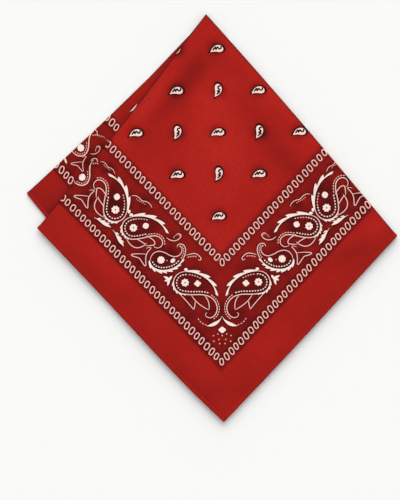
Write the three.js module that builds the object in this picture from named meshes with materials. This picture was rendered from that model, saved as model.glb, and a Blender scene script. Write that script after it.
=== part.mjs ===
// A square cotton bandana, folded in quarters and lying flat. Millimetres, +Z up.
// The middle of the cloth points to +Y, its four corners lie together towards -Y.
// Four layers lie on each other: front, second, third and under, from the top down.
// One long fold at the right wraps all four. At the left the front and second layers
// turn in one fold, the third and under layers in another that reaches further out.
import * as THREE from 'three';

// The cloth
const clothWall = 1.0;
const layerPitch = 1.6;
const seamGap = 0.3;
const hemWidth = 6;
const hemThickness = 1.3;
const clothRed = 0xa81e19;
const hemRed = 0x9c1a16;
const clothRoughness = 0.85;

// Layers counted up from the one that rests on the surface
const underLayer = 0;
const thirdLayer = 1;
const secondLayer = 2;
const frontLayer = 3;

// Corners of the folded quarters, seen from above
const middle = [-6.2, 210.4];
const rightCorner = [191.0, -18.4];
const freeCorner = [12.2, -210.4];
const frontLeftCorner = [-180.2, -10.6];
const backLeftCorner = [-191.0, 25.8];
const backFreeCorner = [10.8, -208.2];

// How each side bows out of the straight line between its corners.
// bow is the greatest distance, outwards, and peak says how far along the side it is.
const sides = {
  rightFold: { from: middle, to: rightCorner, bow: 1.6, peak: 0.45, outward: 1 },
  frontLeftFold: { from: middle, to: frontLeftCorner, bow: -3.0, peak: 0.5, outward: -1 },
  frontLeftHem: { from: frontLeftCorner, to: freeCorner, bow: 2.0, peak: 0.75, outward: -1 },
  frontRightHem: { from: rightCorner, to: freeCorner, bow: 0.8, peak: 0.6, outward: 1 },
  backLeftFold: { from: middle, to: backLeftCorner, bow: -4.6, peak: 0.35, outward: -1 },
  backLeftHem: { from: backLeftCorner, to: backFreeCorner, bow: 1.6, peak: 0.2, outward: -1 },
  backRightHem: { from: rightCorner, to: backFreeCorner, bow: -0.6, peak: 0.6, outward: 1 },
};

// The two plans: the front and second layers share one, the third and under layers the other
const frontPlan = {
  rightFold: sides.rightFold,
  leftFold: sides.frontLeftFold,
  leftHem: sides.frontLeftHem,
  rightHem: sides.frontRightHem,
};
const backPlan = {
  rightFold: sides.rightFold,
  leftFold: sides.backLeftFold,
  leftHem: sides.backLeftHem,
  rightHem: sides.backRightHem,
};

// Soft swells where air lies between the layers: place, reach along and across, turn, rise
const swells = [
  { name: 'middle', x: 6, y: 78, along: 90, across: 62, turn: 4, rise: 2.2 },
  { name: 'leftRoll', x: -58, y: 116, along: 66, across: 13, turn: 51, rise: 1.7 },
  { name: 'rightRoll', x: 92, y: 62, along: 84, across: 14, turn: -49, rise: 1.4 },
  { name: 'leftMargin', x: -84, y: -66, along: 62, across: 20, turn: -47, rise: 1.3 },
  { name: 'rightMargin', x: 96, y: -72, along: 58, across: 18, turn: 46, rise: 1.1 },
  { name: 'leftBand', x: -126, y: 18, along: 34, across: 16, turn: -38, rise: 1.2 },
  { name: 'freeEnd', x: 12, y: -150, along: 34, across: 24, turn: 84, rise: 0.9 },
];

// Widths of the folds' strips, and how finely everything is divided
const rightFoldWidth = 8;
const leftFoldWidth = 6;
const foldArcSteps = 6;
const foldSteps = 20;
const panelSteps = 18;
const innerSteps = 12;
const underSteps = 10;
const stripSteps = 3;
const hemSteps = 14;
const grooveDepth = 3;
const sideLength = 280;

function lerp(a, b, f) {
  return a + (b - a) * f;
}

// Height of the swells over a place on the cloth
function swell(x, y) {
  let height = 0;
  for (const s of swells) {
    const turn = THREE.MathUtils.degToRad(s.turn);
    const along = (x - s.x) * Math.cos(turn) + (y - s.y) * Math.sin(turn);
    const across = (y - s.y) * Math.cos(turn) - (x - s.x) * Math.sin(turn);
    height += s.rise * Math.exp(-((along / s.along) ** 2) - (across / s.across) ** 2);
  }
  return height;
}

// Underside of a layer at a place
function bottomOf(layer, x, y) {
  return layer * layerPitch + swell(x, y) * (layer / frontLayer);
}

// Unit vector that points out of a side, in plan
function outwardOf(side) {
  const dx = side.to[0] - side.from[0];
  const dy = side.to[1] - side.from[1];
  const length = Math.hypot(dx, dy);
  return [(-dy / length) * side.outward, (dx / length) * side.outward];
}

// The bow of a side at a fraction of its length: one soft hump, highest at its peak
function bowAt(side, fraction) {
  const power = Math.log(0.5) / Math.log(side.peak);
  const size = side.bow * Math.sin(Math.PI * fraction ** power);
  return outwardOf(side).map((n) => n * size);
}

// A place in a plan. s runs from the right fold to the left hem, t from the left fold
// to the right hem, both from 0 to 1, and the four bowed sides are blended between.
function place(plan, s, t) {
  const point = [0, 1].map((axis) => {
    const near = lerp(plan.rightFold.from[axis], plan.rightFold.to[axis], t);
    const far = lerp(plan.leftHem.from[axis], plan.leftHem.to[axis], t);
    const bows = [
      bowAt(plan.rightFold, t)[axis] * (1 - s),
      bowAt(plan.leftHem, t)[axis] * s,
      bowAt(plan.leftFold, s)[axis] * (1 - t),
      bowAt(plan.rightHem, s)[axis] * t,
    ];
    return lerp(near, far, s) + bows.reduce((sum, bow) => sum + bow, 0);
  });
  return point;
}

// A grid of points, rows by columns, from a function of two fractions
function grid(rows, columns, pointAt) {
  const points = [];
  for (let i = 0; i <= rows; i += 1) {
    const row = [];
    for (let j = 0; j <= columns; j += 1) {
      row.push(pointAt(i / rows, j / columns));
    }
    points.push(row);
  }
  return points;
}

// The rim of a grid, once round
function rimOf(points) {
  const rows = points.length - 1;
  const columns = points[0].length - 1;
  const rim = [];
  for (let i = 0; i < rows; i += 1) rim.push(points[i][0]);
  for (let j = 0; j < columns; j += 1) rim.push(points[rows][j]);
  for (let i = rows; i > 0; i -= 1) rim.push(points[i][columns]);
  for (let j = columns; j > 0; j -= 1) rim.push(points[0][j]);
  return rim;
}

// Turns a list of triangles into a geometry whose faces point out
function geometryFrom(triangles) {
  let volume = 0;
  for (const [a, b, c] of triangles) {
    volume += new THREE.Vector3(...a).dot(new THREE.Vector3(...b).cross(new THREE.Vector3(...c)));
  }
  const outward = volume > 0 ? triangles : triangles.map(([a, b, c]) => [a, c, b]);
  const geometry = new THREE.BufferGeometry();
  const positions = new Float32Array(outward.flat(2));
  geometry.setAttribute('position', new THREE.BufferAttribute(positions, 3));
  geometry.computeVertexNormals();
  return geometry;
}

// A closed wall of cloth between an upper and a lower grid, with optional rings between
// their rims that shape its edge
function closedWall(upper, lower, rings = []) {
  const triangles = [];
  const addQuad = (a, b, c, d) => triangles.push([a, b, c], [a, c, d]);
  for (let i = 0; i + 1 < upper.length; i += 1) {
    for (let j = 0; j + 1 < upper[0].length; j += 1) {
      addQuad(upper[i][j], upper[i + 1][j], upper[i + 1][j + 1], upper[i][j + 1]);
      addQuad(lower[i][j], lower[i][j + 1], lower[i + 1][j + 1], lower[i + 1][j]);
    }
  }
  const rims = [rimOf(upper), ...rings, rimOf(lower)];
  for (let r = 0; r + 1 < rims.length; r += 1) {
    const above = rims[r];
    const below = rims[r + 1];
    for (let i = 0; i < above.length; i += 1) {
      const next = (i + 1) % above.length;
      addQuad(above[i], below[i], below[next], above[next]);
    }
  }
  return geometryFrom(triangles);
}

// One layer's panel between its folds' strips and its hems
function panel(plan, layer, steps) {
  const s0 = (rightFoldWidth + seamGap) / sideLength;
  const t0 = (leftFoldWidth + seamGap) / sideLength;
  const end = 1 - (hemWidth + seamGap) / sideLength;
  const at = (lift) => (i, j) => {
    const [x, y] = place(plan, lerp(s0, end, i), lerp(t0, end, j));
    return [x, y, bottomOf(layer, x, y) + lift];
  };
  return closedWall(grid(steps, steps, at(clothWall)), grid(steps, steps, at(0)));
}

// The hidden second and third layers as one soft solid. Its edge is layered: each layer
// ends in its own lip with a groove between, and at the right fold it is rounded.
function innerLayers() {
  const s0 = (rightFoldWidth + seamGap) / sideLength;
  const t0 = (leftFoldWidth + seamGap) / sideLength;
  const end = 1 - (hemWidth + seamGap) / sideLength;
  const foldReach = 3 / sideLength;
  const groove = grooveDepth / sideLength;
  const at = (plan, layer, lift, inset) => (i, j) => {
    const foldSide = inset > 0 ? s0 - foldReach : s0;
    const s = lerp(foldSide, end - inset, i);
    const left = plan === backPlan ? underFrontFold(s) : t0;
    const [x, y] = place(plan, s, lerp(left + inset, end - inset, j));
    const height = bottomOf(layer, x, y) + lift;
    return [x, y, height];
  };
  const gridAt = (...edge) => grid(innerSteps, innerSteps, at(...edge));
  const upper = gridAt(frontPlan, secondLayer, clothWall, 0);
  const lower = gridAt(backPlan, thirdLayer, 0, 0);
  const rings = [
    rimOf(gridAt(frontPlan, secondLayer, 0, 0)),
    rimOf(gridAt(backPlan, secondLayer, 0, groove)),
    rimOf(gridAt(backPlan, thirdLayer, clothWall, groove)),
    rimOf(gridAt(backPlan, thirdLayer, clothWall, 0)),
  ];
  return closedWall(upper, lower, rings);
}

// Where the inner edge of the front left fold's strip crosses the back plan, as its t at s
function underFrontFold(s) {
  const t0 = (leftFoldWidth + seamGap) / sideLength;
  const [ax, ay] = place(frontPlan, 0, t0);
  const [bx, by] = place(frontPlan, 1, t0);
  const [px, py] = place(backPlan, s, 0);
  const [qx, qy] = place(backPlan, s, 1);
  const side = (x, y) => (bx - ax) * (y - ay) - (by - ay) * (x - ax);
  const share = side(px, py) / (side(px, py) - side(qx, qy));
  return Math.max(share, t0) + seamGap / sideLength;
}

// The stretch of the third layer that shows beside the front left fold
function backStrip() {
  const t0 = (leftFoldWidth + seamGap) / sideLength;
  const end = 1 - (hemWidth + seamGap) / sideLength;
  const stripStart = 0.16;
  const at = (lift) => (i, j) => {
    const s = lerp(stripStart, end, i);
    const inner = underFrontFold(s) - 2 * (seamGap / sideLength);
    const [x, y] = place(backPlan, s, lerp(t0, inner, j));
    return [x, y, bottomOf(thirdLayer, x, y) + lift];
  };
  return closedWall(grid(panelSteps, stripSteps, at(clothWall)), grid(panelSteps, stripSteps, at(0)));
}

// A fold: a wall that leaves the upper layer, turns round half a circle and comes back
// as the lower layer. Each end says where it lies: on the fold's line, or a width inside.
function fold(upperEnd, lowerEnd) {
  const steps = foldArcSteps + 2;
  const pointOf = (f, step, inset) => {
    const share = step / steps;
    const [outX, outY] = upperEnd.pointAt(f, 0);
    const [highX, highY] = upperEnd.pointAt(f, 1);
    const [lowX, lowY] = lowerEnd.pointAt(f, 1);
    const inX = lerp(highX, lowX, share);
    const inY = lerp(highY, lowY, share);
    const width = Math.hypot(outX - inX, outY - inY);
    const high = bottomOf(upperEnd.layer, highX, highY) + clothWall - inset;
    const low = bottomOf(lowerEnd.layer, lowX, lowY) + inset;
    const radius = (high - low) / 2;
    if (step === 0) return [inX, inY, high];
    if (step === steps) return [inX, inY, low];
    const angle = (Math.PI * (step - 1)) / foldArcSteps;
    const reach = width - inset - radius + radius * Math.sin(angle);
    const height = (low + high) / 2 + radius * Math.cos(angle);
    return [lerp(inX, outX, reach / width), lerp(inY, outY, reach / width), height];
  };
  const wall = (inset) => grid(foldSteps, steps, (f, g) => pointOf(f, Math.round(g * steps), inset));
  return closedWall(wall(0), wall(clothWall));
}

// The fold at the right, which wraps all four layers
function rightFold() {
  const width = rightFoldWidth / sideLength;
  const endOf = (plan, layer) => ({ layer, pointAt: (f, inward) => place(plan, width * inward, f) });
  return fold(endOf(frontPlan, frontLayer), endOf(backPlan, underLayer));
}

// A fold at the left, which starts clear of the right fold
function leftFold(plan, lowLayer, highLayer) {
  const width = leftFoldWidth / sideLength;
  const start = (rightFoldWidth + seamGap) / sideLength;
  const pointAt = (f, inward) => place(plan, lerp(start, 1, f), width * inward);
  return fold({ layer: highLayer, pointAt }, { layer: lowLayer, pointAt });
}

// The rolled hem of one layer: full where it is sewn down, rounded at its outer edge
function hem(layer, placeAcross) {
  const columns = [
    { across: 0, share: 1 },
    { across: 0.55, share: 1 },
    { across: 0.88, share: 0.8 },
    { across: 1, share: 0.4 },
  ];
  const last = columns.length - 1;
  const at = (sign) => (f, g) => {
    const { across, share } = columns[Math.round(g * last)];
    const [x, y] = placeAcross(f, across);
    const half = (hemThickness / 2) * share;
    return [x, y, bottomOf(layer, x, y) + hemThickness / 2 + sign * half];
  };
  return closedWall(grid(hemSteps, last, at(1)), grid(hemSteps, last, at(-1)));
}

// The hem along a layer's lower left side, which takes in the free corner
function leftHem(plan, layer) {
  const start = (leftFoldWidth + seamGap) / sideLength;
  const width = hemWidth / sideLength;
  return hem(layer, (f, across) => place(plan, 1 - width * (1 - across), lerp(start, 1, f)));
}

// The hem along a layer's lower right side, between the right fold and the left hem
function rightHem(plan, layer) {
  const start = (rightFoldWidth + seamGap) / sideLength;
  const end = 1 - (hemWidth + seamGap) / sideLength;
  const width = hemWidth / sideLength;
  return hem(layer, (f, across) => place(plan, lerp(start, end, f), 1 - width * (1 - across)));
}

function clothMaterial(color) {
  return new THREE.MeshStandardMaterial({
    color,
    roughness: clothRoughness,
    metalness: 0,
    side: THREE.FrontSide,
  });
}

const bandana = new THREE.Group();

function addPiece(name, geometry, color) {
  const mesh = new THREE.Mesh(geometry, clothMaterial(color));
  mesh.name = name;
  bandana.add(mesh);
}

addPiece('front_quarter', panel(frontPlan, frontLayer, panelSteps), clothRed);
addPiece('inner_quarters', innerLayers(), clothRed);
addPiece('back_strip', backStrip(), clothRed);
addPiece('under_quarter', panel(backPlan, underLayer, underSteps), clothRed);
addPiece('right_fold', rightFold(), clothRed);
addPiece('front_left_fold', leftFold(frontPlan, secondLayer, frontLayer), clothRed);
addPiece('back_left_fold', leftFold(backPlan, underLayer, thirdLayer), clothRed);

const layers = [
  { name: 'front', plan: frontPlan, layer: frontLayer },
  { name: 'second', plan: frontPlan, layer: secondLayer },
  { name: 'third', plan: backPlan, layer: thirdLayer },
  { name: 'under', plan: backPlan, layer: underLayer },
];
for (const { name, plan, layer } of layers) {
  addPiece(`${name}_left_hem`, leftHem(plan, layer), hemRed);
  addPiece(`${name}_right_hem`, rightHem(plan, layer), hemRed);
}

// The origin is under the middle of the outline
const box = new THREE.Box3().setFromObject(bandana, true);
bandana.position.set(-(box.min.x + box.max.x) / 2, -(box.min.y + box.max.y) / 2, -box.min.z);

export default bandana;
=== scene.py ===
import math
import random

import bpy
import numpy as np
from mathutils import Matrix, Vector
from mathutils.geometry import delaunay_2d_cdt


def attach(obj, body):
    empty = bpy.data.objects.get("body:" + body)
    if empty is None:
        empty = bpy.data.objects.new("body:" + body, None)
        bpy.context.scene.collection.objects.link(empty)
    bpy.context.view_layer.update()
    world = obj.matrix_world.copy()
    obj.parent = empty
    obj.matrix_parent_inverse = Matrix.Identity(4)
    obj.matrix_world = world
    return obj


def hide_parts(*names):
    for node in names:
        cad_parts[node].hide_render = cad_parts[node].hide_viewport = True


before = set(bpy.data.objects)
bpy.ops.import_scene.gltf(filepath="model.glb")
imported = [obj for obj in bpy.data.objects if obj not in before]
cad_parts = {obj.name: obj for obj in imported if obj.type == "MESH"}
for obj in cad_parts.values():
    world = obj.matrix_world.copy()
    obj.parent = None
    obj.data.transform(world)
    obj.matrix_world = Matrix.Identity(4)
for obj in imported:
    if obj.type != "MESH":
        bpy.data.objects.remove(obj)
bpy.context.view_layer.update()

mm = 0.001
random.seed(22)

# the folded pile, in millimetres, seen from above with +Y away from the free corner
pile = {
    "half": 279.5,          # half the side of the cut square
    "layerPitch": 1.6,      # height from one layer to the next
    "rest": 0.7,            # height of the lowest layer's middle
    "swellTop": 3,          # swells are full on the top layer, less on those below
    "outerFold": 2.4,       # radius of the fold that wraps all four layers
    "innerFold": 0.8,       # radius of the folds between two layers
}

# corners of the front and back quarters; "middle" is the middle of the unfolded square
corners = {
    "middle": (-6.2, 210.4),
    "right": (191.0, -18.4),
    "free": (12.2, -210.4),
    "frontLeft": (-180.2, -10.6),
    "backLeft": (-191.0, 25.8),
    "backFree": (10.8, -208.2),
}


# one side of a quarter: it bows by so many millimetres, most of all at its peak
def side(start, end, bow, peak, outward):
    return {"from": corners[start], "to": corners[end], "bow": bow, "peak": peak, "outward": outward}


frontPlan = {
    "rightFold": side("middle", "right", 1.6, 0.45, 1),
    "leftFold": side("middle", "frontLeft", -3.0, 0.5, -1),
    "leftHem": side("frontLeft", "free", 2.0, 0.75, -1),
    "rightHem": side("right", "free", 0.8, 0.6, 1),
}
backPlan = {
    "rightFold": frontPlan["rightFold"],
    "leftFold": side("middle", "backLeft", -4.6, 0.35, -1),
    "leftHem": side("backLeft", "backFree", 1.6, 0.2, -1),
    "rightHem": side("right", "backFree", -0.6, 0.6, 1),
}

# air between the layers: place, reach along and across, turn in degrees, rise
swells = [
    {"x": 6, "y": 78, "along": 90, "across": 62, "turn": 4, "rise": 2.2},
    {"x": -58, "y": 116, "along": 66, "across": 13, "turn": 51, "rise": 1.7},
    {"x": 92, "y": 62, "along": 84, "across": 14, "turn": -49, "rise": 1.4},
    {"x": -84, "y": -66, "along": 62, "across": 20, "turn": -47, "rise": 1.3},
    {"x": 96, "y": -72, "along": 58, "across": 18, "turn": 46, "rise": 1.1},
    {"x": -126, "y": 18, "along": 34, "across": 16, "turn": -38, "rise": 1.2},
    {"x": 12, "y": -150, "along": 34, "across": 24, "turn": 84, "rise": 0.9},
]

# soft troughs and ridges of the top layer, uneven in length, depth and spacing
creases = [
    {"x": -14, "y": 138, "along": 62, "across": 11, "turn": 58, "rise": -1.3},
    {"x": 40, "y": 108, "along": 46, "across": 12, "turn": -30, "rise": -1.0},
    {"x": -62, "y": 60, "along": 44, "across": 13, "turn": 40, "rise": -0.9},
    {"x": 104, "y": 22, "along": 40, "across": 9, "turn": -44, "rise": -0.8},
    {"x": -96, "y": -88, "along": 30, "across": 10, "turn": -20, "rise": -0.9},
    {"x": -40, "y": -140, "along": 44, "across": 12, "turn": -44, "rise": 0.8},
    {"x": 62, "y": -120, "along": 40, "across": 10, "turn": 52, "rise": -0.8},
    {"x": 140, "y": -34, "along": 34, "across": 12, "turn": 20, "rise": 0.9},
    {"x": 8, "y": -70, "along": 50, "across": 18, "turn": 80, "rise": -0.6},
]


def lerp(a, b, f):
    return a + (b - a) * f


# the sum of a table's soft hills and hollows at each place
def rises(table, x, y):
    height = 0 * x
    for hill in table:
        turn = math.radians(hill["turn"])
        along = (x - hill["x"]) * math.cos(turn) + (y - hill["y"]) * math.sin(turn)
        across = (y - hill["y"]) * math.cos(turn) - (x - hill["x"]) * math.sin(turn)
        apart = (along / hill["along"]) ** 2 + (across / hill["across"]) ** 2
        height = height + hill["rise"] * np.exp(-apart)
    return height


# how far a side stands off its straight line
def bowOf(edge, fraction):
    dx = edge["to"][0] - edge["from"][0]
    dy = edge["to"][1] - edge["from"][1]
    length = math.hypot(dx, dy)
    inside = np.clip(fraction, 0, 1) ** (math.log(0.5) / math.log(edge["peak"]))
    size = edge["bow"] * edge["outward"] * np.sin(math.pi * inside)
    return -dy / length * size, dx / length * size


# s runs from the right fold to the left hem, t from the left fold to the right hem
def placeIn(plan, s, t):
    bows = [bowOf(plan["rightFold"], t), bowOf(plan["leftHem"], t)]
    bows += [bowOf(plan["leftFold"], s), bowOf(plan["rightHem"], s)]
    shares = [1 - s, s, 1 - t, t]
    point = []
    for axis in (0, 1):
        near = lerp(plan["rightFold"]["from"][axis], plan["rightFold"]["to"][axis], t)
        far = lerp(plan["leftHem"]["from"][axis], plan["leftHem"]["to"][axis], t)
        value = lerp(near, far, s)
        for bow, share in zip(bows, shares):
            value = value + bow[axis] * share
        point.append(value)
    return point


# the other way: which s and t lie at a place on the plan
def findIn(plan, x, y):
    origin = plan["rightFold"]["from"]
    sideS = [plan["leftHem"]["from"][k] - origin[k] for k in (0, 1)]
    sideT = [plan["rightFold"]["to"][k] - origin[k] for k in (0, 1)]
    det = sideS[0] * sideT[1] - sideS[1] * sideT[0]
    s = 0 * x + 0.5
    t = 0 * x + 0.5
    for _ in range(12):     # twelve rounds settle within 0.003 mm
        px, py = placeIn(plan, s, t)
        ex, ey = x - px, y - py
        s = s + (ex * sideT[1] - ey * sideT[0]) / det
        t = t + (ey * sideS[0] - ex * sideS[1]) / det
    return s, t


# how far inside a fold's line the flat cloth comes to lie, and how far round it has turned
def turnOver(flat, radius):
    quarter = math.pi * radius / 2
    turn = np.clip((flat + quarter) / (2 * quarter), 0, 1)
    curved = radius * (1 - np.sin(math.pi * turn))
    inside = np.where(np.abs(flat) < quarter, curved, radius + np.abs(flat) - quarter)
    return inside, (1 - np.cos(math.pi * turn)) / 2


# a quarter's depth from fold to hem, once its fold is wrapped
def spanOf(radius):
    return pile["half"] + radius - math.pi * radius / 2


# u and v are flat distances from the right and left folds: both below zero on the top layer
def clothPoint(u, v):
    intoT, roundV = turnOver(v, pile["innerFold"])
    radius = lerp(pile["outerFold"], pile["innerFold"], roundV)
    intoS, roundU = turnOver(u, radius)
    s = intoS / spanOf(radius)
    t = intoT / spanOf(pile["innerFold"])
    frontX, frontY = placeIn(frontPlan, s, t)
    backX, backY = placeIn(backPlan, s, t)
    x = lerp(frontX, backX, roundU)
    y = lerp(frontY, backY, roundU)
    swell = rises(swells, x, y)
    level = [pile["rest"] + k * pile["layerPitch"] + swell * k / pile["swellTop"] for k in range(4)]
    top = level[3] + rises(creases, x, y)
    z = lerp(lerp(top, level[2], roundV), lerp(level[0], level[1], roundV), roundU)
    return x, y, z


# the flat cloth's u or v for a share of the plan, on the near or far side of a fold
def unfold(share, radius, beyond):
    inside = share * spanOf(radius)
    quarter = math.pi * radius / 2
    curved = np.clip(1 - inside / radius, -1, 1)
    arc = quarter - np.arcsin(np.clip(curved, 0, 1)) / math.pi * 2 * quarter
    flat = np.where(inside > radius, inside - radius + quarter, np.where(inside > 0, arc, inside))
    return flat if beyond else -flat


print("pile: fold map ready")


# the print is drawn in millimetres about the free corner, its axis up the middle
printFrames = {
    "front": {"corner": (10.2, -210.1), "right": (0.681, 0.732), "left": (-0.695, 0.719)},
    "back": {"corner": (10.8, -208.2), "right": (0.689, 0.725), "left": (-0.653, 0.757)},
}
cornerHalfAngle = math.radians(43.5)

border = {
    "pitch": 7.35,          # from one oval to the next
    "apexes": ((0.3, 62.1), (1.8, 164.5)),  # corner ovals of the outer and inner chains
    "leans": (27, 34),      # degrees that their ovals lean
    "long": 4.25,           # half axes of an oval
    "short": 2.75,
    "line": 1.15,           # width of its ring
    "square": -0.05,        # a little fuller at its four shoulders
    "shade": 0.8,           # dark edge round it
    "cornerLean": 6,
    "pitchPlay": 0.4,       # how unevenly the ovals were printed
    "longPlay": (-0.35, 0.3),
    "shortPlay": (-0.25, 0.2),
    "leanPlay": 7,
    "count": 44,            # ovals up one side
    "rules": (-5.9, 4.9),   # dark lines beside each chain, from its middle towards the field
    "ruleWide": 1.0,
}
bandAxis = 1.2              # the band's middle line, to the right of the free corner
field = {
    "firstRow": 212.7,      # from the free corner to the first drop
    "rowStep": 43.1,
    "columnStep": 42.1,
    "rows": 6,
    "size": 0.89,
    "lying": -2.2,          # the lying drops sit a little to the left of their place
    "standing": -1.2,       # and the standing ones a little below it
}
halo = 0.95                 # dark edge round every white line
penTip = {"grow": 5, "start": 0.1, "thin": 0.12}  # how a line fills out from its ends, and its least
barbs = {"first": 0.2, "last": 0.93, "round": 0.5}  # how the barbs of a crest grow and shrink along it

# where inks overlap, the highest order shows; a mask says how much white, black and shade it is
inks = {
    "soft": {"order": 0, "mask": (0, 0, 0.34)},         # the ground inside a paisley
    "rule": {"order": 1, "mask": (0, 0, 0.5)},          # beside the chains
    "shade": {"order": 1, "mask": (0, 0, 1)},           # round every line
    "black": {"order": 2, "mask": (0, 1, 0)},
    "line": {"order": 3, "mask": (0.5, 0, 0)},          # thin lines, a pinker white
    "drop": {"order": 4, "mask": (0.86, 0, 0)},
    "fill": {"order": 4, "mask": (1, 0, 0)},
    "heart": {"order": 5, "mask": (0, 0.15, 0.95)},     # inside an oval, and a flower's centre
    "mark": {"order": 6, "mask": (0, 1, 0)},            # on the drops
}


# from the print's own x and y to the plan of the pile
def toPlan(frameName, x, y):
    axes = printFrames[frameName]
    alongRight = (y / math.cos(cornerHalfAngle) + x / math.sin(cornerHalfAngle)) / 2
    alongLeft = (y / math.cos(cornerHalfAngle) - x / math.sin(cornerHalfAngle)) / 2
    px = axes["corner"][0] + alongRight * axes["right"][0] + alongLeft * axes["left"][0]
    py = axes["corner"][1] + alongRight * axes["right"][1] + alongLeft * axes["left"][1]
    return px, py


# distances along the two hems from the free corner, for a place on the plan
def hemDistances(frameName, px, py):
    axes = printFrames[frameName]
    dx, dy = px - axes["corner"][0], py - axes["corner"][1]
    (ax, ay), (bx, by) = axes["right"], axes["left"]
    det = ax * by - ay * bx
    return (dx * by - dy * bx) / det, (dy * ax - dx * ay) / det


# the print's own x and y for such distances
def printPlace(alongRight, alongLeft):
    x = (alongRight - alongLeft) * math.sin(cornerHalfAngle)
    y = (alongRight + alongLeft) * math.cos(cornerHalfAngle)
    return x, y


# a pen line: each run is its length and the degrees that the pen turns over it
def pen(x, y, heading, *runs, step=1.4):
    line = [(x, y)]
    for length, turn in runs:
        steps = max(2, round(length / step), round(abs(turn) / 22))
        for _ in range(steps):
            heading += turn / steps / 2
            x += math.cos(math.radians(heading)) * length / steps
            y += math.sin(math.radians(heading)) * length / steps
            heading += turn / steps / 2
            line.append((x, y))
    return line


# part of an ellipse, from one angle to another
def arc(x, y, wide, high, start, end, count):
    turns = [math.radians(lerp(start, end, k / count)) for k in range(count + 1)]
    return [(x + wide * math.cos(a), y + high * math.sin(a)) for a in turns]


# the direction to the left of a line, at each of its points
def normalsOf(line):
    out = []
    for i in range(len(line)):
        ax, ay = line[max(i - 1, 0)]
        bx, by = line[min(i + 1, len(line) - 1)]
        length = math.hypot(bx - ax, by - ay) or 1
        out.append((-(by - ay) / length, (bx - ax) / length))
    return out


# the same line, moved to its left
def beside(line, distance):
    return [(p[0] + n[0] * distance, p[1] + n[1] * distance) for p, n in zip(line, normalsOf(line))]


# part of a line, between two shares of its points
def stretch(line, start, end):
    last = len(line) - 1
    return line[round(start * last):round(end * last) + 1]


# whether the way from a to b to c turns right or goes straight on
def turnsRight(a, b, c):
    return (b[0] - a[0]) * (c[1] - a[1]) - (b[1] - a[1]) * (c[0] - a[0]) <= 0


# the outline round a few points, so that no small piece of ink crosses itself
def wrapped(points):
    ordered = sorted(set(points))
    halves = []
    for run in (ordered, ordered[::-1]):
        half = []
        for p in run:
            while len(half) > 1 and turnsRight(half[-2], half[-1], p):
                half.pop()
            half.append(p)
        halves += half[:-1]
    return halves


# the short pieces of a band of ink along a line
def ribbon(line, left, right):
    normals = normalsOf(line)
    upper = [(p[0] + n[0] * a, p[1] + n[1] * a) for p, n, a in zip(line, normals, left)]
    lower = [(p[0] - n[0] * a, p[1] - n[1] * a) for p, n, a in zip(line, normals, right)]
    return [wrapped([lower[i], lower[i + 1], upper[i + 1], upper[i]]) for i in range(len(line) - 1)]


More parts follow.
